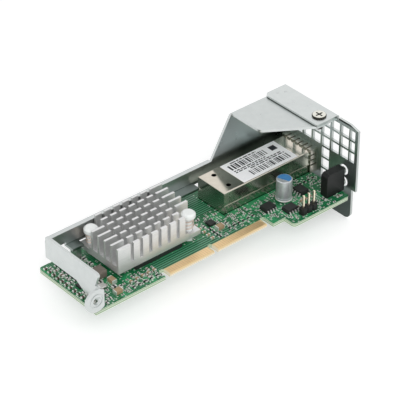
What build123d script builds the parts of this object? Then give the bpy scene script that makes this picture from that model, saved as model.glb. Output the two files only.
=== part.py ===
"""Low-profile network adapter card: board, finned heat sink, module cage, sheet-metal bracket and I/O plate.

Millimetres. X runs along the card towards the I/O plate, Y from the contact edge to the back, Z up.
The origin is the middle of the key notch, on the contact edge line and the board's top face.
"""

import os

from build123d import *

os.makedirs("parts", exist_ok=True)

# Board outline: the left part and tongues are placed from the left end, the I/O end from the tongues
board_thick = 1.57
board_back = 32.5
key_from_left = 54.0
left = -key_from_left
left_part_end = left + 30.6
finger_slot_width = 2.2
finger_slot_depth = 4.1
key_width = 1.8
key_depth = 4.3
tongue_end = left + 78.1
end_notch_width = 1.9
end_notch_depth = 4.4
tab_front = -1.15
tab_length = 5.4
io_length = 27.6
io_front = -6.4
board_corner_r = 1.4
notch_corner_r = 0.4
tongue_bevel = 0.45
tongue_start = left_part_end + finger_slot_width
tab_end = tongue_end + end_notch_width + tab_length
right = tab_end + io_length
bottom = -board_thick

# Gold contact pads on both faces of the tongues
contact_pitch = 1.0
contact_width = 0.74
contact_length = 3.0
contact_thick = 0.05
contact_margin = 0.25
contact_setback = 0.05

# Controller package and the pad that carries heat into the sink
package_size = 21.0
package_height = 2.0
package_bevel = 0.3
pad_inset = 1.5
pad_thick = 0.3

# Pin-fin heat sink
sink_x = left + 16.9
sink_y = 8.85
sink_base_thick = 2.9
fin_height = 7.45
fin_thick = 0.95
fin_rows = 7
fin_pitch_y = 3.52
long_fin = 5.55
short_fin = 2.7
fin_gap_x = 1.42
short_fin_count = 6
bare_rows = 2
corner_drop = 1.0
sink_bottom = package_height + pad_thick
sink_base_top = sink_bottom + sink_base_thick
sink_corner_top = sink_base_top - corner_drop
sink_length = 2 * long_fin + short_fin_count * short_fin + (short_fin_count + 1) * fin_gap_x
sink_depth = (fin_rows - 1) * fin_pitch_y + fin_thick

# Spring-loaded push pins that hold the sink down
pin_inset_x = 3.2
pin_inset_y = 2.95
pin_r = 1.45
pin_clearance = 0.12
pin_head_r = 2.65
pin_head_thick = 1.9
pin_head_gaps = (4.8, 5.6)
pin_head_bevel = 0.7
pin_tip_r = 1.95
pin_tip_length = 2.6
spring_wire_r = 0.25
spring_turns = 3.5
spring_clearance = 0.1
spring_seat_gap = 0.02

# I/O plate with its top strip and lower tab
sheet = 1.0
plate_gap = 2.3
plate_front = -6.9
plate_bottom = 0.7
plate_corner = 4.2
plate_corner_drop = 1.2
plate_ear_top = 28.1
strip_depth = 10.1
strip_front = 4.0
strip_corner_r = 2.0
bend_relief = 0.8
tab_low = -12.7
tab_low_front = -4.85
tab_low_back = 22.0
tab_low_r = 3.0
vent_size = 3.95
vent_pitch_y = 4.85
vent_pitch_z = 4.72
vent_first_y = -0.3
vent_first_z = 14.6
vent_columns = 7
vent_rows = 3
side_vent_width = 2.5
side_vent_y = -4.2
low_vent_column = 2
low_vent_rows = 3
lamp_hole_r = 2.15
plate_in = right + plate_gap
plate_out = plate_in + sheet

# Folded steel bracket
wall_out = 32.3
rail_top = 10.9
rail_bottom = 4.4
rail_lip = 0.9
rail_lip_inset = 3.0
hood_top = 27.8
hood_left = plate_in - 26.9
hood_corner_y = 16.2
hood_front_x = plate_in - 9.0
hood_front_y = 4.4
hood_corner_r = 2.2
slant_start = plate_in - 36.7
corner_slot_start = left + 8.0
corner_slot_end = left + 11.5
corner_slot_top = 6.2
foot_depth = 3.9
foot_clearance = 0.5
arm_out = left + 2.2
arm_top = 13.8
arm_bottom = 4.7
arm_leg_y = 9.0
arm_leg_bottom = 2.0
arm_nose_y = 1.4
arm_nose_drop = 1.2
arm_nose_slope = 1.6
arm_slope = 4.5
arm_back_gap = 0.6
arm_top_r = 1.0
arm_leg_r = 1.8
ear_shoulder = 8.4
ear_heel = 2.8
bend_r = 1.0
ear_front = -1.3
ear_x = left - 0.4
ear_z = 5.6
ear_r = 4.6
ear_hole_r = 1.55
ear_bend_r = 0.8
wall_in = wall_out - sheet
plate_top = hood_top + sheet

# Hexagon spacers and the screws that hold them from under the board
spacer_r = 2.2
spacer_edge = 0.1
screw_r = 1.2
screw_clearance = 0.1
screw_head_r = 2.2
screw_head_thick = 1.5

# Pan-head screw through the strip and the hood
hood_screw_inset = 6.1
hood_screw_y = 8.3
hood_screw_r = 1.5
hood_screw_head_r = 2.7
hood_screw_head_thick = 0.7
hood_screw_bevel = 0.25
hood_screw_length = 5.0
screw_recess_length = 3.2
screw_recess_width = 0.65

# Module cage, its spring collar, host connector and label
cage_length = 48.2
cage_wall_gap = 2.6
cage_width = 14.5
cage_height = 9.55
cage_sheet = 0.3
cage_fold_r = 0.45
cage_proud = 1.8
cage_skirt = 3.6
cage_lap = 1.2
cage_hole_r = 0.95
cage_hole_inset_x = 4.9
cage_hole_inset_y = 3.2
collar_length = 3.4
collar_thick = 0.6
collar_finger = 1.6
collar_finger_gap = 0.6
collar_band = 0.8
cage_cutout_clearance = 0.25
connector_length = 8.0
connector_side_gap = 0.6
connector_height = 7.4
connector_slot_height = 1.4
connector_slot_z = 3.6
connector_slot_depth = 5.0
connector_cheek = 0.8
connector_gap = 0.3
label_thick = 0.1
label_inset = 10.1
label_end_gap = 11.7
label_margin = 0.55
cage_end = plate_out + cage_proud
cage_x = cage_end - cage_length
cage_back_y = wall_in - cage_wall_gap
cage_front_y = cage_back_y - cage_width

# Electrolytic capacitor
can_x = tab_end + 7.9
can_y = 7.8
can_r = 3.0
can_height = 9.2
can_bung_height = 0.5
can_groove_z = 1.5
can_groove_depth = 0.25
can_lead_r = 0.3
can_lead_pitch = 2.5

# Three-pin header
header_x = tab_end + 9.5
header_y = -3.53
header_pitch = 2.54
header_pins_count = 3
header_base_height = 2.55
header_pin_width = 0.64
header_pin_top = 8.05
lead_proud = 1.4
lead_clearance = 0.08

# Two-lamp indicator block
lamp_block_inset = 7.5
lamp_block_length = 8.7
lamp_block_front = -2.2
lamp_block_width = 3.4
lamp_block_height = 9.6
lamp_r = 1.45
lamp_proud = 1.6
lamp_low_z = 2.65
lamp_high_z = 7.6
lamp_lead_r = 0.25
lamp_lead_pitch = 2.54
lamp_socket = 2.0
lamp_clearance = 0.03

# Surface-mount packages
gull_body_length = 4.9
gull_body_width = 3.9
gull_body_height = 1.5
gull_standoff = 0.1
gull_lead_pitch = 1.27
gull_lead_width = 0.45
gull_lead_thick = 0.22
gull_lead_reach = 1.05
gull_lead_rise = 0.75
gull_lead_foot = 0.6
choke_size = 4.6
choke_height = 2.6
choke_corner = 0.5
crystal_length = 4.6
crystal_width = 2.8
crystal_height = 1.1
crystal_corner = 0.5
flat_chip_size = 2.8
flat_chip_height = 0.85
big_cap_length = 3.2
big_cap_width = 2.0
big_cap_height = 1.5
small_cap_length = 1.5
small_cap_width = 0.85
small_cap_height = 0.75
resistor_height = 0.45
end_length = 0.3


def gull_places():
    """Middle and turn of each eight-lead package."""
    return ((tab_end - 0.7, 6.9, 0), (tab_end + 15.8, 7.2, 90), (tab_end + 4.9, 1.2, 0))


def big_cap_places():
    return ((left + 14.6, 9.7, 90), (left + 12.4, 3.6, 0), (left + 9.2, 23.5, 90), (left + 63.5, 9.2, 0))


def small_cap_places():
    """Rows of decoupling capacitors: along the left end, under the tongue row and beside the cage."""
    left_end = [(left + 1.3, 6.6 + 2.35 * step, 0) for step in range(11)]
    tongue_row = [(left + 19.4 + 2.6 * step, 5.2, 90) for step in range(5)]
    beside_sink = [(left + 57.4, 6.2 + 2.3 * step, 0) for step in range(5)]
    beside_cage = [(tab_end + 11.6 + 2.2 * step, 2.2, 90) for step in range(4)]
    return left_end + tongue_row + beside_sink + beside_cage


def resistor_places():
    """Rows of resistors beside the capacitors."""
    left_end = [(left + 5.4, 18.4 + 2.2 * step, 0) for step in range(6)]
    tongue_row = [(left + 18.2 + 2.6 * step, 2.2, 90) for step in range(5)]
    beside_sink = [(left + 60.2, 5.2 + 1.9 * step, 0) for step in range(4)]
    before_cage = [(tab_end - 19.0 + 2.2 * step, 7.0, 90) for step in range(6)]
    beside_cage = [(right - 8.6 + 2.0 * step, 10.6, 90) for step in range(4)]
    return left_end + tongue_row + beside_sink + before_cage + beside_cage


sink_pins = (
    (sink_x + pin_inset_x, sink_y + sink_depth - pin_inset_y),
    (sink_x + sink_length - pin_inset_x, sink_y + pin_inset_y),
)
foot_left_end = sink_x - foot_clearance
foot_right_start = sink_x + sink_length + 2 * foot_clearance
foot_right_end = cage_x - foot_clearance
spacer_y = wall_in - foot_depth / 2
spacers_at = (
    (foot_left_end - spacer_r - spacer_edge, spacer_y),
    (foot_right_start + 2 * spacer_r + spacer_edge, spacer_y),
)
hood_screw_x = plate_out - hood_screw_inset
lamp_block_x = right - lamp_block_inset
label_x = cage_x + label_inset
label_length = cage_length - label_inset - label_end_gap
header_start = header_x - (header_pins_count - 1) * header_pitch / 2
header_at = [header_start + index * header_pitch for index in range(header_pins_count)]
can_leads_at = [(can_x + side * can_lead_pitch / 2, can_y) for side in (-1, 1)]
lamp_y = lamp_block_front + lamp_block_width / 2
lamp_leads_at = [(lamp_block_x + (step + 0.7) * lamp_lead_pitch, lamp_y) for step in range(2)]

# Circuit board: one outline with tongues, key notch and the wider I/O end, bevelled at the contact edge
with BuildPart() as board:
    with BuildSketch(Plane.XY.offset(bottom)):
        with BuildLine():
            Polyline(
                (left, board_back),
                (left, 0),
                (left_part_end, 0),
                (left_part_end, finger_slot_depth),
                (tongue_start, finger_slot_depth),
                (tongue_start, 0),
                (-key_width / 2, 0),
                (-key_width / 2, key_depth),
                (key_width / 2, key_depth),
                (key_width / 2, 0),
                (tongue_end, 0),
                (tongue_end, end_notch_depth),
                (tongue_end + end_notch_width, end_notch_depth),
                (tongue_end + end_notch_width, tab_front),
                (tab_end, tab_front),
                (tab_end, io_front),
                (right, io_front),
                (right, board_back),
                close=True,
            )
        outline = make_face()
        outer_corners = outline.vertices().filter_by(lambda v: v.Y < io_front / 2 or v.Y > board_back / 2)
        fillet(outer_corners, board_corner_r)
    extrude(amount=board_thick)
    inner_corners = board.edges().filter_by(Axis.Z).filter_by(
        lambda e: finger_slot_depth / 2 < e.center().Y < board_back / 2
    )
    chamfer(inner_corners, notch_corner_r)
    tongue_edges = board.edges().filter_by(Axis.X).filter_by(
        lambda e: abs(e.center().Y) < 0.01 and tongue_start < e.center().X < tongue_end
    )
    chamfer(tongue_edges, tongue_bevel)
    with Locations(*[(x, y, 0) for x, y in sink_pins]):
        Hole(pin_r + pin_clearance)
    with Locations(*[(x, y, 0) for x, y in spacers_at]):
        Hole(screw_r + screw_clearance)
    with BuildSketch():
        with Locations(*[(x, header_y) for x in header_at]):
            RegularPolygon(header_pin_width * 0.7072 + 2 * lead_clearance, 8)
        with Locations(*can_leads_at):
            RegularPolygon(can_lead_r + 2 * lead_clearance, 8)
        with Locations(*lamp_leads_at):
            RegularPolygon(lamp_lead_r + 2 * lead_clearance, 8)
    extrude(amount=-board_thick, mode=Mode.SUBTRACT)
board.part.label = "circuit_board"
export_step(board.part, "parts/circuit_board.step")

# Gold contact pads, one row on each face of each tongue
with BuildPart() as contacts:
    for start, end in ((tongue_start, -key_width / 2), (key_width / 2, tongue_end)):
        count = int((end - start - 2 * contact_margin) / contact_pitch)
        middle = (start + end) / 2
        pad_y = tongue_bevel + contact_setback + contact_length / 2
        for pad_z in (contact_thick / 2, bottom - contact_thick / 2):
            with Locations((middle, pad_y, pad_z)):
                with GridLocations(contact_pitch, contact_pitch, count, 1):
                    Box(contact_width, contact_length, contact_thick)
contacts.part.label = "edge_contacts"
export_step(contacts.part, "parts/edge_contacts.step")

# Controller package under the sink, with the pad between them
sink_middle = (sink_x + sink_length / 2, sink_y + sink_depth / 2)
with BuildPart() as package:
    with BuildSketch():
        with Locations(sink_middle):
            Rectangle(package_size, package_size)
    extrude(amount=package_height)
    chamfer(package.edges().group_by(Axis.Z)[-1], package_bevel)
package.part.label = "controller_package"
export_step(package.part, "parts/controller_package.step")

with BuildPart() as pad:
    with BuildSketch(Plane.XY.offset(package_height)):
        with Locations(sink_middle):
            Rectangle(package_size - 2 * pad_inset, package_size - 2 * pad_inset)
    extrude(amount=pad_thick)
pad.part.label = "thermal_pad"
export_step(pad.part, "parts/thermal_pad.step")

# Heat sink: a base plate with rows of cross-cut fins, bare where the two push pins stand
with BuildPart() as sink:
    with BuildSketch(Plane.XY.offset(sink_bottom)):
        with Locations(sink_middle):
            Rectangle(sink_length, sink_depth)
    extrude(amount=sink_base_thick)
    with BuildSketch(Plane.XY.offset(sink_base_top)):
        for row in range(fin_rows):
            row_y = sink_y + row * fin_pitch_y + fin_thick / 2
            if row < fin_rows - bare_rows:
                with Locations((sink_x + long_fin / 2, row_y)):
                    Rectangle(long_fin, fin_thick)
            if row >= bare_rows:
                with Locations((sink_x + sink_length - long_fin / 2, row_y)):
                    Rectangle(long_fin, fin_thick)
            for fin in range(short_fin_count):
                fin_x = sink_x + long_fin + fin_gap_x + fin * (short_fin + fin_gap_x) + short_fin / 2
                with Locations((fin_x, row_y)):
                    Rectangle(short_fin, fin_thick)
    extrude(amount=fin_height)
    with BuildSketch(Plane.XY.offset(sink_base_top)):
        corner_depth = bare_rows * fin_pitch_y - (fin_pitch_y - fin_thick) / 2
        with Locations(
            (sink_x + long_fin / 2, sink_y + sink_depth - corner_depth / 2),
            (sink_x + sink_length - long_fin / 2, sink_y + corner_depth / 2),
        ):
            Rectangle(long_fin, corner_depth)
    extrude(amount=-corner_drop, mode=Mode.SUBTRACT)
    with Locations(*[(x, y, sink_base_top) for x, y in sink_pins]):
        Hole(pin_r + pin_clearance)
sink.part.label = "heat_sink"
export_step(sink.part, "parts/heat_sink.step")

# Push pins: domed head, shank through sink and board, split barbed tip below
from_foot = (Align.CENTER, Align.CENTER, Align.MIN)
with BuildPart() as pins:
    for (x, y), gap in zip(sink_pins, pin_head_gaps):
        head_z = sink_corner_top + gap
        with Locations((x, y, bottom)):
            Cylinder(pin_r, head_z - bottom, align=from_foot)
        with Locations((x, y, bottom - pin_tip_length)):
            Cone(pin_r * 0.6, pin_tip_r, pin_tip_length, align=from_foot)
        with Locations((x, y, head_z)):
            Cylinder(pin_head_r, pin_head_thick, align=from_foot)
        head_rim = pins.edges().filter_by(GeomType.CIRCLE).filter_by(
            lambda e: abs(e.center().Z - head_z - pin_head_thick) < 0.01
        )
        chamfer(head_rim, pin_head_bevel)
pins.part.label = "push_pins"
export_step(pins.part, "parts/push_pins.step")

# Coil springs between the sink's low corners and the pin heads
spring_r = pin_r + spring_clearance + spring_wire_r
with BuildPart() as springs:
    for (x, y), gap in zip(sink_pins, pin_head_gaps):
        spring_height = gap - 2 * spring_wire_r - 2 * spring_seat_gap
        spring_foot = (x, y, sink_corner_top + spring_wire_r + spring_seat_gap)
        with BuildLine():
            coil = Helix(spring_height / spring_turns, spring_height, spring_r, center=spring_foot)
        with BuildSketch(Plane(origin=coil @ 0, z_dir=coil % 0)):
            RegularPolygon(spring_wire_r, 4)
        sweep(path=coil, is_frenet=True)
springs.part.label = "push_pin_springs"
export_step(springs.part, "parts/push_pin_springs.step")

# Side bracket: rail with lip and feet, raised hood at the I/O end, arm and ear at the left end
wall_plane = Plane(origin=(0, wall_out, 0), x_dir=(1, 0, 0), z_dir=(0, -1, 0))
arm_plane = Plane(origin=(arm_out, 0, 0), x_dir=(0, 1, 0), z_dir=(1, 0, 0))
ear_plane = Plane(origin=(0, ear_front + sheet, 0), x_dir=(1, 0, 0), z_dir=(0, -1, 0))
with BuildPart() as bracket:
    with BuildSketch(wall_plane):
        with BuildLine():
            Polyline(
                (arm_out, rail_bottom),
                (corner_slot_start, rail_bottom),
                (corner_slot_start, corner_slot_top),
                (corner_slot_end, corner_slot_top),
                (corner_slot_end, rail_bottom),
                (plate_in, rail_bottom),
                (plate_in, hood_top),
                (hood_left, hood_top),
                (slant_start, rail_top),
                (arm_out, rail_top),
                close=True,
            )
        make_face()
    extrude(amount=sheet)
    with BuildSketch(Plane.XY.offset(hood_top - sheet)):
        with BuildLine():
            Polyline(
                (hood_left, wall_out),
                (hood_left, hood_corner_y),
                (hood_front_x, hood_front_y),
                (plate_in, hood_front_y),
                (plate_in, wall_out),
                close=True,
            )
        hood_face = make_face()
        fillet(hood_face.vertices().filter_by(lambda v: v.Y < wall_in).sort_by(Axis.X)[0], hood_corner_r)
    extrude(amount=sheet)
    with BuildSketch(arm_plane):
        with BuildLine():
            Polyline(
                (wall_out, rail_bottom),
                (wall_out - arm_slope, arm_bottom),
                (arm_leg_y + arm_slope, arm_bottom),
                (arm_leg_y, arm_leg_bottom),
                (ear_front, ear_heel),
                (ear_front, ear_shoulder),
                (arm_nose_y + arm_nose_slope, ear_shoulder),
                (arm_nose_y, arm_top - arm_nose_drop),
                (arm_nose_y, arm_top),
                (wall_in - arm_back_gap, arm_top),
                (wall_in - arm_back_gap, rail_top),
                (wall_out, rail_top),
                close=True,
            )
        arm_face = make_face()
        fillet(arm_face.vertices().filter_by(lambda v: v.Y > arm_top - 0.01), arm_top_r)
        leg_corners = arm_face.vertices().filter_by(
            lambda v: arm_leg_y - 0.1 < v.X < arm_leg_y + arm_slope + 0.1
        )
        fillet(leg_corners, arm_leg_r)
    extrude(amount=sheet)
    with BuildSketch(ear_plane):
        with Locations((ear_x, ear_z)):
            Circle(ear_r)
            Circle(ear_hole_r, mode=Mode.SUBTRACT)
        with Locations((arm_out + sheet + ear_r / 2, ear_z)):
            Rectangle(ear_r, 2 * ear_r, mode=Mode.SUBTRACT)
    extrude(amount=sheet)
    foot_y = wall_in - foot_depth
    for start, end in ((corner_slot_end, foot_left_end), (foot_right_start, foot_right_end)):
        with BuildSketch(Plane.XY.offset(rail_bottom)):
            with Locations(((start + end) / 2, (foot_y + wall_out) / 2)):
                Rectangle(end - start, wall_out - foot_y)
        extrude(amount=sheet)
    with BuildSketch(Plane.XY.offset(rail_top - sheet)):
        lip_start = arm_out + rail_lip_inset
        with Locations(((lip_start + slant_start) / 2, wall_out + rail_lip / 2)):
            Rectangle(slant_start - lip_start, rail_lip)
    extrude(amount=sheet)
    with Locations((hood_screw_x, hood_screw_y, hood_top)):
        Hole(hood_screw_r + screw_clearance)
    corner_out = bracket.edges().filter_by(Axis.Z).filter_by(
        lambda e: abs(e.center().X - arm_out) < 0.01 and abs(e.center().Y - wall_out) < 0.01
    )
    fillet(corner_out, bend_r + sheet)
    ear_bend = bracket.edges().filter_by(Axis.Z).filter_by(
        lambda e: abs(e.center().X - arm_out - sheet) < 0.01 and abs(e.center().Y - ear_front) < 0.01
    )
    fillet(ear_bend, ear_bend_r)
    hood_bend = bracket.edges().filter_by(Axis.X).filter_by(
        lambda e: abs(e.center().Z - hood_top) < 0.01 and abs(e.center().Y - wall_out) < 0.01
    )
    fillet(hood_bend, bend_r)
bracket.part.label = "side_bracket"
export_step(bracket.part, "parts/side_bracket.step")

# Spacers between the board and the bracket's feet, with their screws from below
with BuildPart() as spacers:
    for x, y in spacers_at:
        with BuildSketch():
            with Locations((x, y)):
                RegularPolygon(spacer_r, 6)
                Circle(screw_r + screw_clearance / 2, mode=Mode.SUBTRACT)
        extrude(amount=rail_bottom)
spacers.part.label = "bracket_spacers"
export_step(spacers.part, "parts/bracket_spacers.step")

with BuildPart() as board_screws:
    for x, y in spacers_at:
        with BuildSketch(Plane.XY.offset(bottom - screw_head_thick)):
            with Locations((x, y)):
                Circle(screw_head_r)
        extrude(amount=screw_head_thick)
        with BuildSketch(Plane.XY.offset(bottom)):
            with Locations((x, y)):
                Circle(screw_r)
        extrude(amount=board_thick + rail_bottom * 0.8)
board_screws.part.label = "spacer_screws"
export_step(board_screws.part, "parts/spacer_screws.step")

# I/O plate: vented face, bent top strip, front ear with a cut corner, lower tab
plate_plane = Plane(origin=(plate_in, 0, 0), x_dir=(0, 1, 0), z_dir=(1, 0, 0))
with BuildPart() as plate:
    with BuildSketch(plate_plane):
        with BuildLine():
            Polyline(
                (plate_front, plate_bottom),
                (plate_front, plate_ear_top - plate_corner_drop),
                (plate_front + plate_corner, plate_ear_top),
                (strip_front - bend_relief, plate_ear_top),
                (strip_front - bend_relief, hood_top - bend_relief),
                (strip_front, hood_top - bend_relief),
                (strip_front, plate_top),
                (wall_out, plate_top),
                (wall_out, plate_bottom),
                (tab_low_back, plate_bottom),
                (tab_low_back, tab_low),
                (tab_low_front, tab_low),
                (tab_low_front, plate_bottom),
                close=True,
            )
        plate_face = make_face()
        fillet(plate_face.vertices().filter_by(lambda v: v.Y < tab_low + 0.1), tab_low_r)
        for column in range(vent_columns):
            for row in range(vent_rows):
                with Locations((vent_first_y + column * vent_pitch_y, vent_first_z + row * vent_pitch_z)):
                    Rectangle(vent_size, vent_size, mode=Mode.SUBTRACT)
        for row in range(vent_rows):
            with Locations((side_vent_y, vent_first_z + row * vent_pitch_z)):
                Rectangle(side_vent_width, vent_size, mode=Mode.SUBTRACT)
        for row in range(low_vent_rows):
            low_vent_y = vent_first_y + low_vent_column * vent_pitch_y
            with Locations((low_vent_y, vent_first_z - (row + 1) * vent_pitch_z)):
                Rectangle(vent_size, vent_size, mode=Mode.SUBTRACT)
        with Locations((cage_front_y + cage_width / 2, cage_height / 2)):
            cutout_width = cage_width + 2 * cage_cutout_clearance
            cutout_height = cage_height + 2 * cage_cutout_clearance
            Rectangle(cutout_width, cutout_height, mode=Mode.SUBTRACT)
        with Locations((lamp_y, lamp_low_z), (lamp_y, lamp_high_z)):
            Circle(lamp_hole_r, mode=Mode.SUBTRACT)
    extrude(amount=sheet)
    with BuildSketch(Plane.XY.offset(hood_top)):
        with Locations((plate_out - (strip_depth + sheet) / 2, (strip_front + wall_out) / 2)):
            strip_face = Rectangle(strip_depth + sheet, wall_out - strip_front)
        fillet(strip_face.vertices().group_by(Axis.X)[0].sort_by(Axis.Y)[-1], strip_corner_r)
        with Locations((hood_screw_x, hood_screw_y)):
            Circle(hood_screw_r + screw_clearance, mode=Mode.SUBTRACT)
    extrude(amount=sheet)
    strip_bend = plate.edges().filter_by(Axis.Y).filter_by(
        lambda e: abs(e.center().X - plate_out) < 0.01 and abs(e.center().Z - plate_top) < 0.01
    )
    fillet(strip_bend, bend_r * 0.9)
plate.part.label = "io_plate"
export_step(plate.part, "parts/io_plate.step")

# Pan-head screw that ties the strip to the hood
with BuildPart() as hood_screw:
    with BuildSketch(Plane.XY.offset(plate_top)):
        with Locations((hood_screw_x, hood_screw_y)):
            Circle(hood_screw_head_r)
    extrude(amount=hood_screw_head_thick)
    chamfer(hood_screw.edges().group_by(Axis.Z)[-1], hood_screw_bevel)
    with BuildSketch(Plane.XY.offset(plate_top)):
        with Locations((hood_screw_x, hood_screw_y)):
            Circle(hood_screw_r)
    extrude(amount=-hood_screw_length)
    with BuildSketch(Plane.XY.offset(plate_top + hood_screw_head_thick)):
        with Locations((hood_screw_x, hood_screw_y)):
            Rectangle(screw_recess_length, screw_recess_width)
            Rectangle(screw_recess_width, screw_recess_length)
    extrude(amount=-hood_screw_head_thick * 0.6, mode=Mode.SUBTRACT)
hood_screw.part.label = "hood_screw"
export_step(hood_screw.part, "parts/hood_screw.step")

# Cage floor: a folded tray that lies on the board, inside the cover
cage_middle = (cage_x + cage_length / 2, cage_front_y + cage_width / 2)
with BuildPart() as cage_tray:
    with BuildSketch():
        with Locations(cage_middle):
            Rectangle(cage_length - 2 * cage_sheet, cage_width - 2 * cage_sheet)
    extrude(amount=cage_skirt + cage_lap)
    with BuildSketch(Plane.XY.offset(cage_sheet)):
        with Locations(cage_middle):
            Rectangle(cage_length, cage_width - 4 * cage_sheet)
    extrude(amount=cage_height, mode=Mode.SUBTRACT)
    with BuildSketch():
        with Locations((cage_x + cage_sheet + (connector_length + 1) / 2, cage_middle[1])):
            Rectangle(connector_length + 1, cage_width - 6 * cage_sheet)
    extrude(amount=cage_sheet, mode=Mode.SUBTRACT)
cage_tray.part.label = "cage_tray"
export_step(cage_tray.part, "parts/cage_tray.step")

# Cage cover: roof, two sides down to the skirt line and the rear wall, open at the plate
with BuildPart() as cage_cover:
    with BuildSketch():
        with Locations(cage_middle):
            Rectangle(cage_length, cage_width)
    extrude(amount=cage_height)
    roof_edges = cage_cover.edges().group_by(Axis.Z)[-1].sort_by(Axis.X)[:-1]
    fillet(roof_edges, cage_fold_r)
    with BuildSketch():
        with Locations((cage_middle[0] + cage_sheet, cage_middle[1])):
            Rectangle(cage_length, cage_width - 2 * cage_sheet)
    extrude(amount=cage_height - cage_sheet, mode=Mode.SUBTRACT)
    for side_y in (cage_front_y, cage_back_y):
        with BuildSketch():
            with Locations((cage_middle[0] + cage_sheet, side_y)):
                Rectangle(cage_length, 3 * cage_sheet)
        extrude(amount=cage_skirt, mode=Mode.SUBTRACT)
    with BuildSketch(Plane.XY.offset(cage_height)):
        for hole_y in (cage_front_y + cage_hole_inset_y, cage_back_y - cage_hole_inset_y):
            with Locations((cage_x + cage_hole_inset_x, hole_y)):
                Circle(cage_hole_r)
    extrude(amount=-cage_sheet, mode=Mode.SUBTRACT)
cage_cover.part.label = "cage_cover"
export_step(cage_cover.part, "parts/cage_cover.step")

# Spring collar: a sheet frame round the cage behind the plate, slit into fingers
collar_x = plate_in - collar_length
finger_step = collar_finger + collar_finger_gap
with BuildPart() as collar:
    with BuildSketch(Plane(origin=(collar_x, 0, 0), x_dir=(0, 1, 0), z_dir=(1, 0, 0))):
        with Locations((cage_middle[1], (cage_height + collar_thick) / 2)):
            Rectangle(cage_width + 2 * collar_thick, cage_height + collar_thick)
        with Locations((cage_middle[1], cage_height / 2)):
            Rectangle(cage_width, cage_height, mode=Mode.SUBTRACT)
    extrude(amount=collar_length)
    slit_length = collar_length - collar_band
    roof_slits = int(cage_width / finger_step)
    side_slits = int(cage_height / finger_step) - 1
    with Locations((collar_x + slit_length / 2, cage_middle[1], cage_height + collar_thick / 2)):
        with GridLocations(1, finger_step, 1, roof_slits):
            Box(slit_length, collar_finger_gap, collar_thick, mode=Mode.SUBTRACT)
    for slit in range(side_slits):
        slit_z = cage_skirt + slit * finger_step
        with Locations((collar_x + slit_length / 2, cage_middle[1], slit_z)):
            Box(slit_length, cage_width + 2 * collar_thick, collar_finger_gap, mode=Mode.SUBTRACT)
collar.part.label = "cage_collar"
export_step(collar.part, "parts/cage_collar.step")

# Host connector at the back of the cage, with the slot that takes a module's edge
connector_width = cage_width - 4 * cage_sheet - 2 * connector_side_gap
connector_x = cage_x + cage_sheet + connector_gap
with BuildPart() as connector:
    with BuildSketch():
        with Locations((connector_x + connector_length / 2, cage_middle[1])):
            Rectangle(connector_length, connector_width)
    extrude(amount=connector_height)
    with BuildSketch(Plane.XY.offset(connector_slot_z)):
        with Locations((connector_x + connector_length - connector_slot_depth / 2, cage_middle[1])):
            Rectangle(connector_slot_depth, connector_width - 2 * connector_cheek)
    extrude(amount=connector_slot_height, mode=Mode.SUBTRACT)
    chamfer(connector.edges().filter_by(Axis.Y).sort_by(Axis.Z)[-2:], 0.4)
connector.part.label = "host_connector"
export_step(connector.part, "parts/host_connector.step")

# Blank paper label on the cage's roof
with BuildPart() as label:
    with BuildSketch(Plane.XY.offset(cage_height)):
        with Locations((label_x + label_length / 2, cage_middle[1])):
            Rectangle(label_length, cage_width - 2 * label_margin)
    extrude(amount=label_thick)
label.part.label = "cage_label"
export_step(label.part, "parts/cage_label.step")

# Electrolytic capacitor: rubber bung, grooved aluminium can and its two leads
with BuildPart() as can_bung:
    with BuildSketch():
        with Locations((can_x, can_y)):
            Circle(can_r * 0.86)
    extrude(amount=can_bung_height)
can_bung.part.label = "capacitor_bung"
export_step(can_bung.part, "parts/capacitor_bung.step")

with BuildPart() as can:
    with BuildSketch(Plane.XY.offset(can_bung_height)):
        with Locations((can_x, can_y)):
            Circle(can_r)
    extrude(amount=can_height - can_bung_height)
    with BuildSketch(Plane.XY.offset(can_groove_z)):
        with Locations((can_x, can_y)):
            Circle(can_r)
            Circle(can_r - can_groove_depth, mode=Mode.SUBTRACT)
    extrude(amount=2 * can_groove_depth, mode=Mode.SUBTRACT)
    chamfer(can.edges().group_by(Axis.Z)[-1], can_groove_depth)
can.part.label = "capacitor_can"
export_step(can.part, "parts/capacitor_can.step")

with BuildPart() as can_leads:
    with BuildSketch(Plane.XY.offset(bottom - lead_proud)):
        with Locations(*can_leads_at):
            RegularPolygon(can_lead_r, 8)
    extrude(amount=lead_proud + board_thick)
can_leads.part.label = "capacitor_leads"
export_step(can_leads.part, "parts/capacitor_leads.step")

# Pin header: notched plastic base and square pins through the board
header_length = header_pins_count * header_pitch
with BuildPart() as header_base:
    with BuildSketch():
        with Locations((header_x, header_y)):
            Rectangle(header_length, header_pitch)
        with Locations(*[(x + header_pitch / 2, header_y + side * header_pitch / 2)
                         for x in [header_at[0] - header_pitch] + header_at for side in (-1, 1)]):
            Rectangle(0.7, 0.7, 45, mode=Mode.SUBTRACT)
        with Locations(*[(x, header_y) for x in header_at]):
            Rectangle(header_pin_width, header_pin_width, mode=Mode.SUBTRACT)
    extrude(amount=header_base_height)
header_base.part.label = "header_base"
export_step(header_base.part, "parts/header_base.step")

with BuildPart() as header_pins:
    with BuildSketch(Plane.XY.offset(bottom - lead_proud)):
        with Locations(*[(x, header_y) for x in header_at]):
            Rectangle(header_pin_width, header_pin_width)
    extrude(amount=header_pin_top - bottom + lead_proud)
    chamfer(header_pins.edges().group_by(Axis.Z)[-1], header_pin_width * 0.22)
header_pins.part.label = "header_pins"
export_step(header_pins.part, "parts/header_pins.step")

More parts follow.
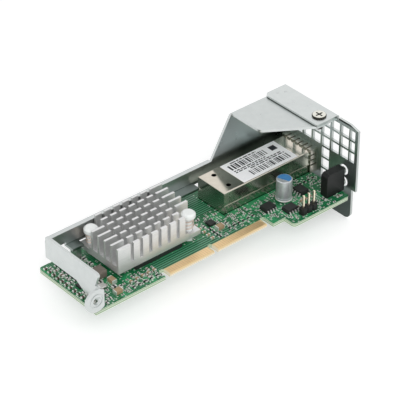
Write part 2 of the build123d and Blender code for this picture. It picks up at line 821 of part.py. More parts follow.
# Indicator block: black housing, two lamps that look through the plate, leads
lamp_end = lamp_block_x + lamp_block_length
with BuildPart() as lamp_block:
    with BuildSketch():
        with Locations((lamp_block_x + lamp_block_length / 2, lamp_y)):
            Rectangle(lamp_block_length, lamp_block_width)
    extrude(amount=lamp_block_height)
    chamfer(lamp_block.edges().filter_by(Axis.Y).sort_by(Axis.Z)[-2:].sort_by(Axis.X)[0], 1.0)
    with Locations((lamp_end, lamp_y, lamp_low_z), (lamp_end, lamp_y, lamp_high_z)):
        Cylinder(lamp_r, 2 * lamp_socket, rotation=(0, 90, 0), mode=Mode.SUBTRACT)
lamp_block.part.label = "lamp_block"
export_step(lamp_block.part, "parts/lamp_block.step")

with BuildPart() as lamps:
    for lamp_z in (lamp_low_z, lamp_high_z):
        lamp_foot = (lamp_end - lamp_socket, lamp_y, lamp_z)
        with BuildSketch(Plane(origin=lamp_foot, x_dir=(0, 1, 0), z_dir=(1, 0, 0))):
            Circle(lamp_r - lamp_clearance)
        extrude(amount=lamp_socket + lamp_proud)
    chamfer(lamps.edges().group_by(Axis.X)[-1], lamp_r * 0.4)
lamps.part.label = "indicator_lamps"
export_step(lamps.part, "parts/indicator_lamps.step")

with BuildPart() as lamp_leads:
    with BuildSketch(Plane.XY.offset(bottom - lead_proud)):
        with Locations(*lamp_leads_at):
            RegularPolygon(lamp_lead_r, 4)
    extrude(amount=lead_proud + board_thick)
lamp_leads.part.label = "lamp_leads"
export_step(lamp_leads.part, "parts/lamp_leads.step")

# Eight-lead packages: bevelled bodies and gull-wing leads
with BuildPart() as gull_bodies:
    for x, y, turn in gull_places():
        with BuildSketch(Plane.XY.offset(gull_standoff)):
            with Locations(Location((x, y), turn)):
                Rectangle(gull_body_length, gull_body_width)
        extrude(amount=gull_body_height, taper=6)
gull_bodies.part.label = "chip_bodies"
export_step(gull_bodies.part, "parts/chip_bodies.step")

with BuildPart() as gull_leads:
    for x, y, turn in gull_places():
        for side in (0, 180):
            chip = Plane(Location((x, y, 0), (0, 0, turn + side)))
            for lead in range(4):
                lead_start = (lead - 1.5) * gull_lead_pitch - gull_lead_width / 2
                lead_origin = chip.from_local_coords((lead_start, gull_body_width / 2, 0))
                with BuildSketch(Plane(origin=lead_origin, x_dir=chip.y_dir, z_dir=chip.x_dir)):
                    with BuildLine():
                        Polyline(
                            (gull_lead_reach - gull_lead_foot, 0),
                            (gull_lead_reach, 0),
                            (gull_lead_reach, gull_lead_thick),
                            (gull_lead_reach - gull_lead_foot + gull_lead_thick, gull_lead_thick),
                            (gull_lead_reach - gull_lead_foot, gull_lead_rise + gull_lead_thick),
                            (0, gull_lead_rise + gull_lead_thick),
                            (0, gull_lead_rise),
                            (gull_lead_reach - gull_lead_foot - gull_lead_thick, gull_lead_rise),
                            close=True,
                        )
                    make_face()
                extrude(amount=gull_lead_width)
gull_leads.part.label = "chip_leads"
export_step(gull_leads.part, "parts/chip_leads.step")

# Power choke, crystal can and a small flat chip at the left end
with BuildPart() as choke:
    with BuildSketch():
        with Locations((left + 13.4, 15.6)):
            choke_face = Rectangle(choke_size, choke_size)
        chamfer(choke_face.vertices(), choke_corner)
    extrude(amount=choke_height)
    chamfer(choke.edges().group_by(Axis.Z)[-1], 0.3)
choke.part.label = "power_choke"
export_step(choke.part, "parts/power_choke.step")

with BuildPart() as crystal:
    with BuildSketch():
        with Locations((left + 9.2, 9.4)):
            crystal_face = Rectangle(crystal_length, crystal_width)
        chamfer(crystal_face.vertices(), crystal_corner)
    extrude(amount=crystal_height)
    chamfer(crystal.edges().group_by(Axis.Z)[-1], 0.25)
crystal.part.label = "crystal_can"
export_step(crystal.part, "parts/crystal_can.step")

with BuildPart() as flat_chips:
    with BuildSketch():
        with Locations((left + 5.0, 14.6), (left + 62.8, 13.4)):
            Rectangle(flat_chip_size, flat_chip_size)
    extrude(amount=flat_chip_height)
flat_chips.part.label = "flat_chips"
export_step(flat_chips.part, "parts/flat_chips.step")


def chip_body(x, y, turn, length, width, height):
    """Middle block of a chip part, between its two metal ends."""
    with Locations(Location((x, y, height / 2), (0, 0, turn))):
        Box(length - 2 * end_length, width, height)


def chip_ends(x, y, turn, length, width, height):
    """Metal ends of a chip part, face to face with its body."""
    with Locations(Location((x, y, height / 2), (0, 0, turn))):
        with GridLocations(length - end_length, 1, 2, 1):
            Box(end_length, width, height)


# Ceramic chip capacitors, large and small, and flat chip resistors
with BuildPart() as capacitor_bodies:
    for x, y, turn in big_cap_places():
        chip_body(x, y, turn, big_cap_length, big_cap_width, big_cap_height)
    for x, y, turn in small_cap_places():
        chip_body(x, y, turn, small_cap_length, small_cap_width, small_cap_height)
capacitor_bodies.part.label = "ceramic_capacitors"
export_step(capacitor_bodies.part, "parts/ceramic_capacitors.step")

with BuildPart() as resistor_bodies:
    for x, y, turn in resistor_places():
        chip_body(x, y, turn, small_cap_length, small_cap_width, resistor_height)
resistor_bodies.part.label = "chip_resistors"
export_step(resistor_bodies.part, "parts/chip_resistors.step")

with BuildPart() as ends:
    for x, y, turn in big_cap_places():
        chip_ends(x, y, turn, big_cap_length, big_cap_width, big_cap_height)
    for x, y, turn in small_cap_places():
        chip_ends(x, y, turn, small_cap_length, small_cap_width, small_cap_height)
    for x, y, turn in resistor_places():
        chip_ends(x, y, turn, small_cap_length, small_cap_width, resistor_height)
ends.part.label = "chip_end_caps"
export_step(ends.part, "parts/chip_end_caps.step")
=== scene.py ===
import math
import random

import bmesh
import bpy
from mathutils import Matrix, Vector


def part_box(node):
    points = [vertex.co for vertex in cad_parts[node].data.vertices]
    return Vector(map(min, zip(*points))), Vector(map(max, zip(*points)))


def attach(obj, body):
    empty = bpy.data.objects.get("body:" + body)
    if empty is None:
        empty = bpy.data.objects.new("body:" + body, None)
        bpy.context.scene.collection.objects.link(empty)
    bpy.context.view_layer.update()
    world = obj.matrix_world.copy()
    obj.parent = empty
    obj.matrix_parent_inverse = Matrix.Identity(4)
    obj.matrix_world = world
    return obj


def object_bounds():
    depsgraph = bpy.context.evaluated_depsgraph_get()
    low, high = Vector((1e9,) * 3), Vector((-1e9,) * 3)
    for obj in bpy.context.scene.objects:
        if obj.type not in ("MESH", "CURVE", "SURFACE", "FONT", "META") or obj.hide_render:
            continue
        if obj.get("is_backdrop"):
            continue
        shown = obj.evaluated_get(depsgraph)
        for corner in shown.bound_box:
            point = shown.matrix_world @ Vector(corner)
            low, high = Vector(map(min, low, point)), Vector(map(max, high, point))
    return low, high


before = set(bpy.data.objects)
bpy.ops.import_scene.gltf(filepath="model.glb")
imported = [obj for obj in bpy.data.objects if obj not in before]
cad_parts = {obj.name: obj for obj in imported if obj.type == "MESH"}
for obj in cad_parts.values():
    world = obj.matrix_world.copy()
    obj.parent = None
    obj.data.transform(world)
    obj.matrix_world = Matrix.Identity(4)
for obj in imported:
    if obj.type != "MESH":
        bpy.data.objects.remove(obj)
cad_low, cad_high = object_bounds()

# Circuit board
# A multilayer glass-epoxy laminate routed to its outline, under glossy green solder mask.
# It carries every other piece; the tongues are left bare of mask for the contacts.
MM = 0.001
board_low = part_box("circuit_board")[0]
LEFT = board_low.x


def linear(colour):
    """Linear RGBA of an sRGB hex colour."""
    channels = [int(colour[place:place + 2], 16) / 255 for place in (1, 3, 5)]
    return [c / 12.92 if c < 0.04045 else ((c + 0.055) / 1.055) ** 2.4 for c in channels] + [1.0]


def add(tree, kind, inputs=(), **settings):
    """Adds a node, sets its properties, and fills its sockets with values or links."""
    node = tree.nodes.new(kind)
    for name, value in settings.items():
        setattr(node, name, value)
    for socket, value in dict(inputs).items():
        if isinstance(value, bpy.types.NodeSocket):
            tree.links.new(value, node.inputs[socket])
        else:
            node.inputs[socket].default_value = value
    return node


def shader_of(material):
    """A finish's node tree and its shader."""
    return material.node_tree, material.node_tree.nodes["Principled BSDF"]


def millimetres(tree, stretch=(1, 1, 1)):
    """Object coordinates in millimetres, for patterns drawn at real size."""
    place = add(tree, "ShaderNodeTexCoord").outputs["Object"]
    scale = [share / MM for share in stretch]
    return add(tree, "ShaderNodeVectorMath", {0: place, 1: scale}, operation="MULTIPLY").outputs[0]


def paint(tree, factor, under, over):
    """Lays one colour over another where the factor is 1."""
    return add(tree, "ShaderNodeMix", {0: factor, 6: under, 7: over}, data_type="RGBA").outputs[2]


def finish(name, dark, light, grain, roughness, relief=0.0, stretch=(1, 1, 1), **sockets):
    """A surface that drifts between two colours over its grain in millimetres, in gloss and height too."""
    noise_detail = 4.0
    gloss_drift = 0.04
    material = bpy.data.materials.new(name)
    material.use_nodes = True
    tree, shader = shader_of(material)
    inputs = {"Vector": millimetres(tree, stretch), "Scale": 1 / grain, "Detail": noise_detail}
    drift = add(tree, "ShaderNodeTexNoise", inputs).outputs["Fac"]
    tree.links.new(paint(tree, drift, linear(dark), linear(light)), shader.inputs["Base Color"])
    gloss_range = {0: drift, 3: roughness - gloss_drift, 4: roughness + gloss_drift}
    gloss = add(tree, "ShaderNodeMapRange", gloss_range)
    tree.links.new(gloss.outputs[0], shader.inputs["Roughness"])
    if relief:
        bump = add(tree, "ShaderNodeBump", {"Height": drift, "Distance": relief * MM})
        tree.links.new(bump.outputs[0], shader.inputs["Normal"])
    for socket, value in sockets.items():
        shader.inputs[socket.replace("_", " ").title()].default_value = value
    return material


# Green solder mask is smooth and glossy, with a faint cloud
MASK_CLOUD = 3.0
green_mask = finish("green_solder_mask", "#063A20", "#0B4C2C", MASK_CLOUD, roughness=0.3)
tree, shader = shader_of(green_mask)
in_mm = millimetres(tree)

# It is lighter where copper runs beneath it, as traces along, across or slanted, or as a full pour.
# Each region of the board draws its own, and the traces are coarser than real so that they show
FAR = 1000.0
REGION_SIZE = 4.5
TRACE_PITCH, TRACE_CUT = 0.8, 0.6
ALONG_CUT, SLANT_CUT, POUR_CUT = 0.3, 0.78, 0.68
region = add(tree, "ShaderNodeTexVoronoi", {"Vector": in_mm, "Scale": 1 / REGION_SIZE}, distance="CHEBYCHEV")
pick = add(tree, "ShaderNodeSeparateColor", {0: region.outputs["Color"]}).outputs


def within(tree, value, low, high):
    """1 where a value lies between two limits; FAR leaves a side open."""
    above = add(tree, "ShaderNodeMath", {0: value, 1: low}, operation="GREATER_THAN").outputs[0]
    below = add(tree, "ShaderNodeMath", {0: value, 1: high}, operation="LESS_THAN").outputs[0]
    return add(tree, "ShaderNodeMath", {0: above, 1: below}, operation="MULTIPLY").outputs[0]


def bands(tree, place, pitch, direction, cut):
    """1 on straight bands of a pitch in millimetres, narrower as the cut rises to 1."""
    wave_length = math.tau / 20
    inputs = {"Vector": place, "Scale": wave_length / pitch}
    wave = add(tree, "ShaderNodeTexWave", inputs, bands_direction=direction)
    return within(tree, wave.outputs["Fac"], cut, FAR)


def tone_of(shader):
    """The colour that a finish has so far."""
    return shader.inputs["Base Color"].links[0].from_socket


def overlay(tree, shader, mask, colour):
    """Paints a colour over a finish where the mask is 1."""
    tree.links.new(paint(tree, mask, tone_of(shader), colour), shader.inputs["Base Color"])


across = bands(tree, in_mm, TRACE_PITCH, "X", TRACE_CUT)
along = bands(tree, in_mm, TRACE_PITCH, "Y", TRACE_CUT)
slanted = bands(tree, in_mm, TRACE_PITCH, "DIAGONAL", TRACE_CUT)
runs_along = within(tree, pick[0], ALONG_CUT, FAR)
runs_slanted = within(tree, pick[1], SLANT_CUT, FAR)
straight = add(tree, "ShaderNodeMix", {0: runs_along, 2: across, 3: along}).outputs[0]
traces = add(tree, "ShaderNodeMix", {0: runs_slanted, 2: straight, 3: slanted}).outputs[0]
pour = within(tree, pick[2], POUR_CUT, FAR)
copper = add(tree, "ShaderNodeMath", {0: traces, 1: pour}, operation="MAXIMUM").outputs[0]
overlay(tree, shader, copper, linear("#2B8C58"))

# Plated through-holes show as small pale dots
VIA_SPACING, VIA_RADIUS = 1.5, 0.22
via_cells = add(tree, "ShaderNodeTexVoronoi", {"Vector": in_mm, "Scale": 1 / VIA_SPACING})
via = within(tree, via_cells.outputs["Distance"], -FAR, VIA_RADIUS / VIA_SPACING)
overlay(tree, shader, via, linear("#A8CDB0"))

# Bare tinned pads sit in some cells of a fine grid
PAD_CELL = (1.15, 0.8, 1.0)
CELL_MIDDLE, PAD_HALF = 0.5, (0.27, 0.24)
PAD_SHARE = 0.26
FLAT = (1, 1, 0)
cells = add(tree, "ShaderNodeVectorMath", {0: in_mm, 1: PAD_CELL}, operation="DIVIDE").outputs[0]
cell = add(tree, "ShaderNodeVectorMath", {0: cells}, operation="FLOOR").outputs[0]
flat_cell = add(tree, "ShaderNodeVectorMath", {0: cell, 1: FLAT}, operation="MULTIPLY").outputs[0]
draw = add(tree, "ShaderNodeTexWhiteNoise", {"Vector": flat_cell})
pad = within(tree, draw.outputs["Value"], -FAR, PAD_SHARE)
in_cell = add(tree, "ShaderNodeVectorMath", {0: cells}, operation="FRACTION").outputs[0]
in_cell = add(tree, "ShaderNodeSeparateXYZ", {0: in_cell}).outputs
for axis, half in enumerate(PAD_HALF):
    near = within(tree, in_cell[axis], CELL_MIDDLE - half, CELL_MIDDLE + half)
    pad = add(tree, "ShaderNodeMath", {0: pad, 1: near}, operation="MULTIPLY").outputs[0]
overlay(tree, shader, pad, linear("#CFDCCF"))


def place_of(tree):
    """The three coordinates in millimetres, with X counted from the board's left end."""
    start = (LEFT / MM, 0, 0)
    place = add(tree, "ShaderNodeVectorMath", {0: millimetres(tree), 1: start}, operation="SUBTRACT")
    return add(tree, "ShaderNodeSeparateXYZ", {0: place.outputs[0]}).outputs


def patch(tree, first, second):
    """1 where two values each lie between their own limits."""
    inputs = {0: within(tree, *first), 1: within(tree, *second)}
    return add(tree, "ShaderNodeMath", inputs, operation="MULTIPLY").outputs[0]


# Long parallel traces run beside the tongues and the rail, drawn coarser than real so that they show.
# Each field has its start and end in X, then in Y
LINE_PITCH, LINE_CUT = 1.05, 0.68
LINE_FIELDS = ((31.0, 70.0, -10.0, 9.0), (54.5, 69.5, 19.6, 40.0))
place = place_of(tree)
lined = paint(tree, bands(tree, in_mm, LINE_PITCH, "Y", LINE_CUT), linear("#0A4527"), linear("#57A17B"))
for start_x, end_x, start_y, end_y in LINE_FIELDS:
    overlay(tree, shader, patch(tree, (place[0], start_x, end_x), (place[1], start_y, end_y)), lined)


def facing_of(tree):
    """The three parts of the surface's direction."""
    normal = add(tree, "ShaderNodeNewGeometry").outputs["Normal"]
    return add(tree, "ShaderNodeSeparateXYZ", {0: normal}).outputs


def dress(material, *nodes):
    """Gives CAD nodes their finish."""
    for node in nodes:
        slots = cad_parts[node].data.materials
        slots.clear()
        slots.append(material)


# Bare laminate shows between the contacts and on the routed edges, where its layers are darker lines,
# drawn coarser than real so that they show
TONGUE_START, TONGUE_END, MASK_START = 32.8, 78.1, 3.7
LAYER_PITCH, LAYER_CUT = 0.75, 0.5
EDGE_TILT = 0.3
tongue = patch(tree, (place[0], TONGUE_START, TONGUE_END), (place[1], -FAR, MASK_START))
overlay(tree, shader, tongue, linear("#DCC394"))
routed = within(tree, facing_of(tree)[2], -EDGE_TILT, EDGE_TILT)
layers = bands(tree, in_mm, LAYER_PITCH, "Z", LAYER_CUT)
layered = paint(tree, layers, linear("#D3DFC8"), linear("#93AD8B"))
overlay(tree, shader, routed, paint(tree, tongue, layered, linear("#EFE4CC")))
dress(green_mask, "circuit_board")

# Edge contacts
# Hard-gold fingers plated on both faces of the tongues, thin, slightly matt and warm tan.
# Fine wipe marks run along each finger, drawn coarse enough to show.
WIPE_MARK = 0.3
ALONG_FINGERS = (1, 0.1, 1)
contact_gold = finish("hard_gold_plate", "#E6C694", "#FEDEB2", WIPE_MARK, roughness=0.35,
                      stretch=ALONG_FINGERS, metallic=1.0)
dress(contact_gold, "edge_contacts")

# Controller package
# A moulded epoxy square under the heat sink, with a dull grey silicone pad pressed on it.
# Other chips and the host connector share its matt mould skin, whose grit is drawn coarse enough to show.
MOULD_GRIT, PAD_GRIT = 0.25, 0.6
black_mould = finish("black_epoxy_mould", "#181B1A", "#252827", MOULD_GRIT, roughness=0.5, relief=0.01)
pad_grey = finish("grey_silicone_pad", "#838587", "#999C9D", PAD_GRIT, roughness=0.8, relief=0.02)
dress(black_mould, "controller_package", "host_connector", "chip_bodies", "flat_chips")
dress(pad_grey, "thermal_pad")

# Heat sink
# Extruded aluminium with fins cut across into pins, left bare.
# The satin skin spreads the light, and fine die lines run along the fins, drawn coarse enough to show.
DIE_LINE = 0.35
ALONG_FINS = (0.05, 1, 1)
bare_aluminium = finish("extruded_aluminium", "#D2D3D3", "#EDEDEC", DIE_LINE, roughness=0.4,
                        stretch=ALONG_FINS, metallic=0.8)
dress(bare_aluminium, "heat_sink")

# Push pins and springs
# White nylon pins with barbed tips snap through the board and hold the sink down.
# A coil of bronze wire under each head presses on the sink's base.
MOULD_CLOUD, WIRE_MARK = 1.5, 0.4
# Moulded nylon is milky with a soft sheen, and drawn wire is satin
white_nylon = finish("white_nylon", "#E4E8E6", "#F4F6F5", MOULD_CLOUD, roughness=0.45)
spring_bronze = finish("bronze_spring_wire", "#C6B6A9", "#DECEC3", WIRE_MARK, roughness=0.35, metallic=0.9)
dress(white_nylon, "push_pins")
dress(spring_bronze, "push_pin_springs")

# Side bracket
# One blank of zinc-coated steel sheet folded into rail, arm, ear and hood, screwed to spacers.
# It is satin and faintly cloudy; its feet carry painted shade, and under the hood the wall carries painted
# shade that deepens towards its foot.
CLOUD_SIZE = 2.5
FEET_SHADE_START, FEET_SHADE_TOP = 3.0, 5.6
WALL_SHADE_START, WALL_SHADE_FULL, WALL_SHADE_TOP = 70.0, 94.0, 26.5
WALL_SHADE_LIGHT, WALL_SHADE_DARK = 16.0, 10.5
# Limits of the surface's direction on faces that look down an axis and up it
DOWN_AXIS, UP_AXIS = (-2, -0.7), (0.7, 2)
zinc_steel = finish("zinc_coated_steel", "#C4C9C8", "#D4D8D7", CLOUD_SIZE, roughness=0.29, metallic=1.0)
dress(zinc_steel, "bracket_spacers", "spacer_screws")
bracket_steel = zinc_steel.copy()
bracket_steel.name = "zinc_coated_steel_bracket"
tree, shader = shader_of(bracket_steel)
place = place_of(tree)
# Painted shade: past the arm, the bracket's lower part is given a darker grey
feet_shade = patch(tree, (place[0], FEET_SHADE_START, FAR), (place[2], -FAR, FEET_SHADE_TOP))
overlay(tree, shader, feet_shade, linear("#8D9693"))
# Painted shade: the wall's face under the hood gets a cooler tone that darkens towards its foot, fading in
# along the wall towards the plate
wall_shade = patch(tree, (facing_of(tree)[1], *DOWN_AXIS), (place[2], -FAR, WALL_SHADE_TOP))
shade_ramp = add(tree, "ShaderNodeMapRange", {0: place[0], 1: WALL_SHADE_START, 2: WALL_SHADE_FULL}).outputs[0]
wall_shade = add(tree, "ShaderNodeMath", {0: wall_shade, 1: shade_ramp}, operation="MULTIPLY").outputs[0]
depth = add(tree, "ShaderNodeMapRange", {0: place[2], 1: WALL_SHADE_LIGHT, 2: WALL_SHADE_DARK}).outputs[0]
overlay(tree, shader, wall_shade, paint(tree, depth, linear("#BAC8C6"), linear("#46514C")))
dress(bracket_steel, "side_bracket")


def piece(name, form, material):
    """Makes a finished form an object that rides on the card."""
    sharp_angle = math.radians(35)
    mesh = bpy.data.meshes.new(name)
    form.to_mesh(mesh)
    form.free()
    mesh.shade_smooth()
    mesh.set_sharp_from_angle(angle=sharp_angle)
    mesh.materials.append(material)
    obj = bpy.data.objects.new(name, mesh)
    bpy.context.scene.collection.objects.link(obj)
    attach(obj, "root")


def ring(form, centre, axis, radius, thick):
    """Adds a round ring about an axis, with a round section."""
    section_sides, turn_steps = 10, 40
    turn = Vector((0, 0, 1)).rotation_difference(Vector(axis)).to_matrix().to_4x4()
    place = Matrix.Translation(centre) @ turn
    section = Matrix.Translation((radius, 0, 0)) @ Matrix.Rotation(math.pi / 2, 4, "X")
    new = bmesh.ops.create_circle(form, segments=section_sides, radius=thick, matrix=place @ section)
    edges = {edge for vert in new["verts"] for edge in vert.link_edges}
    bmesh.ops.spin(form, geom=new["verts"] + list(edges), cent=centre, axis=axis, angle=math.tau,
                   steps=turn_steps, use_merge=True)
    bmesh.ops.recalc_face_normals(form, faces=form.faces)


# Rolled lip round the ear's hole
# The hole in the ear is pierced and drawn through the sheet.
# That leaves a raised round lip of the same steel on the front face.
LIP_CENTRE = Vector((-0.4, -1.35, 5.6)) * MM
LIP_RADIUS, LIP_THICK = 2.5 * MM, 0.28 * MM
lip = bmesh.new()
ring(lip, LIP_CENTRE + Vector((LEFT, 0, 0)), (0, 1, 0), LIP_RADIUS, LIP_THICK)
piece("ear_lip", lip, zinc_steel)

# I/O plate
# A second steel blank: a pierced plate with a top strip that is screwed down over the hood.
# Its sheared edges and other faces that look along Y carry painted shade, and its inner face carries painted
# shade that deepens downwards, most of all on the tab below the board.
PLATE_SHADE_TOP, PLATE_SHADE_FOOT = 7.0, -3.0
HOOD_TOP = 27.8
GAP_BELOW, GAP_ABOVE = 0.5, 0.35
plate_steel = finish("zinc_coated_steel_plate", "#CBD0CF", "#DADEDD", CLOUD_SIZE, roughness=0.29,
                     metallic=1.0)
tree, shader = shader_of(plate_steel)
facing = facing_of(tree)
height = place_of(tree)[2]
# Painted shade: faces that look along Y, the sheared edges among them, are given a darker grey
for limits in (DOWN_AXIS, UP_AXIS):
    overlay(tree, shader, within(tree, facing[1], *limits), linear("#B4B9B7"))
# Painted shade: the inner face darkens from 7 mm above the board down to 3 mm below it
depth = add(tree, "ShaderNodeMapRange", {0: height, 1: PLATE_SHADE_TOP, 2: PLATE_SHADE_FOOT}).outputs[0]
inner_shade = paint(tree, depth, linear("#D2DEDB"), linear("#4C5552"))
# The foot of the strip's edge carries a painted shadow, where a narrow gap runs between strip and hood
gap_shadow = within(tree, height, HOOD_TOP - GAP_BELOW, FAR)
inner_shade = paint(tree, gap_shadow, inner_shade, linear("#4A504D"))
inside = patch(tree, (facing[0], *DOWN_AXIS), (height, -FAR, HOOD_TOP + GAP_ABOVE))
overlay(tree, shader, inside, inner_shade)
dress(plate_steel, "io_plate")

# Dimples in the strip
# Two small locating dimples are pressed into the strip from below, near its back corner.
# They show as low round bumps in the same steel.
STRIP_TOP = 28.8
DIMPLE_RADIUS, DIMPLE_RISE = 0.55 * MM, 0.4
DIMPLE_SIDES, DIMPLE_RINGS = 20, 10
DIMPLE_PLACES = ((109.3, 29.6), (112.2, 28.5))
dimples = bmesh.new()
for dimple_x, dimple_y in DIMPLE_PLACES:
    dimple = Matrix.Translation((LEFT + dimple_x * MM, dimple_y * MM, STRIP_TOP * MM))
    bmesh.ops.create_uvsphere(dimples, u_segments=DIMPLE_SIDES, v_segments=DIMPLE_RINGS, radius=DIMPLE_RADIUS,
                              matrix=dimple @ Matrix.Diagonal((1, 1, DIMPLE_RISE, 1)))
piece("strip_dimples", dimples, zinc_steel)

# Hood screw
# A low-headed steel screw with a cross recess, bright and slightly warm on its top face.
# Its round-over and its recess carry painted shade, as a dark ring and a dark cross.
RIM_DROP, RIM_WIDTH = 0.12, 0.28
TURN_MARK = 0.5
screw_low, screw_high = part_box("hood_screw")
screw_middle = (screw_low + screw_high) / 2 / MM
screw_radius = (screw_high.x - screw_low.x) / 2 / MM
screw_steel = finish("bright_turned_steel", "#E4E3D8", "#F0EFE6", TURN_MARK, roughness=0.3, metallic=0.8)
tree, shader = shader_of(screw_steel)
spot = millimetres(tree, FLAT)
axis_spot = (screw_middle.x, screw_middle.y, 0)
reach = add(tree, "ShaderNodeVectorMath", {0: spot, 1: axis_spot}, operation="DISTANCE").outputs["Value"]
# Painted shade: a dark ring round the head's edge, and a dark cross where the surface lies below the top face
overlay(tree, shader, within(tree, reach, screw_radius - RIM_WIDTH, FAR), linear("#55554C"))
sunk_shade = within(tree, place_of(tree)[2], -FAR, screw_high.z / MM - RIM_DROP)
overlay(tree, shader, sunk_shade, linear("#34342F"))
dress(screw_steel, "hood_screw")

# Module cage
# Nickel-plated copper alloy, stamped and folded: a tray on the board and a cover over it.
# The plating is bright and a little warm; its sides are duller in gloss and carry painted shade, and its foot
# on the board is a painted shadow line.
FOOT_SHADOW = 0.4
PLATE_CLOUD = 1.8
SIDE_TILT, SIDE_DULL = 0.5, 0.08
cage_nickel = finish("bright_nickel_plate", "#CFC8BB", "#DDD6C9", PLATE_CLOUD, roughness=0.12, metallic=1.0)
tree, shader = shader_of(cage_nickel)
side = within(tree, facing_of(tree)[2], -SIDE_TILT, SIDE_TILT)
# Painted shade: faces that stand upright are given a darker tone
overlay(tree, shader, side, linear("#B0B3A6"))
# Painted shadow line along the foot, where the cage meets the board
overlay(tree, shader, within(tree, place_of(tree)[2], -FAR, FOOT_SHADOW), linear("#34352C"))
roof_gloss = shader.inputs["Roughness"].links[0].from_socket
gloss = add(tree, "ShaderNodeMath", {0: side, 1: SIDE_DULL, 2: roof_gloss}, operation="MULTIPLY_ADD")
tree.links.new(gloss.outputs[0], shader.inputs["Roughness"])
dress(cage_nickel, "cage_tray", "cage_cover")

# Cage collar
# A ring of spring fingers of the same alloy, slit and bent outward, plated matt.
# The fingers press on the back of the I/O plate round the cage's mouth.
# Its colour is a little darker than the cage's, as painted shade
collar_nickel = finish("matt_nickel_plate", "#BAB7AC", "#CECBC0", PLATE_CLOUD, roughness=0.3, metallic=1.0)
dress(collar_nickel, "cage_collar")


def block(form, low, high):
    """Adds a box between two corners, in millimetres from the board's left end."""
    middle = [(a + b) / 2 * MM for a, b in zip(low, high)]
    size = [(b - a) * MM for a, b in zip(low, high)]
    place = Matrix.Translation((LEFT + middle[0], middle[1], middle[2]))
    bmesh.ops.create_cube(form, size=1, matrix=place @ Matrix.Diagonal((*size, 1)))


def round_edges(form, radius, steps):
    """Rounds every edge of a form."""
    bmesh.ops.bevel(form, geom=form.edges[:], offset=radius, segments=steps, profile=0.5, affect="EDGES",
                    material=-1)


# Skirt lip
# The cover's sides are rolled outward at their lower edges, where they lap the tray.
# The roll is a narrow rounded bead of the same plated sheet along each side.
cage_low, cage_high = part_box("cage_cover")
SKIRT_FOOT, SKIRT_HEIGHT, SKIRT_HALF = 3.6, 0.28, 0.14
SKIRT_ROUND, SKIRT_STEPS = 0.1 * MM, 2
SKIRT_SHORT = 6.5
skirt_start = (cage_low.x - LEFT) / MM
skirt_end = (cage_high.x - LEFT) / MM - SKIRT_SHORT
skirt = bmesh.new()
for side_y in (cage_low.y / MM, cage_high.y / MM):
    block(skirt, (skirt_start, side_y - SKIRT_HALF, SKIRT_FOOT),
          (skirt_end, side_y + SKIRT_HALF, SKIRT_FOOT + SKIRT_HEIGHT))
round_edges(skirt, SKIRT_ROUND, SKIRT_STEPS)
piece("cage_skirt_lip", skirt, cage_nickel)

# Cage label
# A white paper label stuck to the cage's roof, printed in black with plain fields:
# two rows of bars, thin broken rules between them and one solid block.
PAPER_FIBRE, INK_GRAIN = 0.5, 0.3
INK = 0.012
LABEL_SEED = 11
# A row of bars has its front edge, height, start and end; a rule has its front edge, start and end
BAR_ROWS = ((8.4, 3.2, 1.8, 19.6), (1.4, 3.2, 6.0, 24.4))
BAR_WIDTHS, BAR_GAPS = (0.26, 0.4, 0.55, 0.8), (0.3, 0.45, 0.7)
RULES = ((7.2, 1.8, 17.0), (6.2, 1.8, 23.5), (5.2, 8.0, 24.4), (12.1, 4.0, 16.5))
RULE_HEIGHT, RULE_GAP, RULE_DASH = 0.55, 0.45, (0.7, 2.6)
SOLID_FIELD = ((21.6, 8.7), (24.4, 11.5))
# Paper is matt with faint fibres, and the printed ink is a soft black
label_paper = finish("white_label_paper", "#F2F4F6", "#FFFFFF", PAPER_FIBRE, roughness=0.6, relief=0.005)
label_ink = finish("black_label_ink", "#1B1D21", "#2B2D33", INK_GRAIN, roughness=0.55)
dress(label_paper, "cage_label")
label_low, label_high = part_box("cage_label")
label_x, label_y, label_top = (label_low.x - LEFT) / MM, label_low.y / MM, label_high.z / MM
draw_bars = random.Random(LABEL_SEED)
print_form = bmesh.new()


def ink_field(low, high):
    """Prints a box of ink on the label, in millimetres from its corner."""
    block(print_form, (label_x + low[0], label_y + low[1], label_top),
          (label_x + high[0], label_y + high[1], label_top + INK))


for row_y, row_height, row_start, row_end in BAR_ROWS:
    bar_x = row_start
    while bar_x < row_end:
        bar = draw_bars.choice(BAR_WIDTHS)
        ink_field((bar_x, row_y), (bar_x + bar, row_y + row_height))
        bar_x += bar + draw_bars.choice(BAR_GAPS)
for rule_y, rule_start, rule_end in RULES:
    rule_x = rule_start
    while rule_x < rule_end:
        dash = draw_bars.uniform(*RULE_DASH)
        ink_field((rule_x, rule_y), (min(rule_x + dash, rule_end), rule_y + RULE_HEIGHT))
        rule_x += dash + RULE_GAP
ink_field(*SOLID_FIELD)
piece("label_print", print_form, label_ink)

# Electrolytic capacitor
# A drawn aluminium can crimped on a rubber bung, standing on two tinned leads.
# A blue segment of ink marks the negative side of its top.
CAN_MOTTLE, INK_CLOUD, RUBBER_GRIT, TIN_GRAIN = 0.8, 0.8, 0.3, 0.4
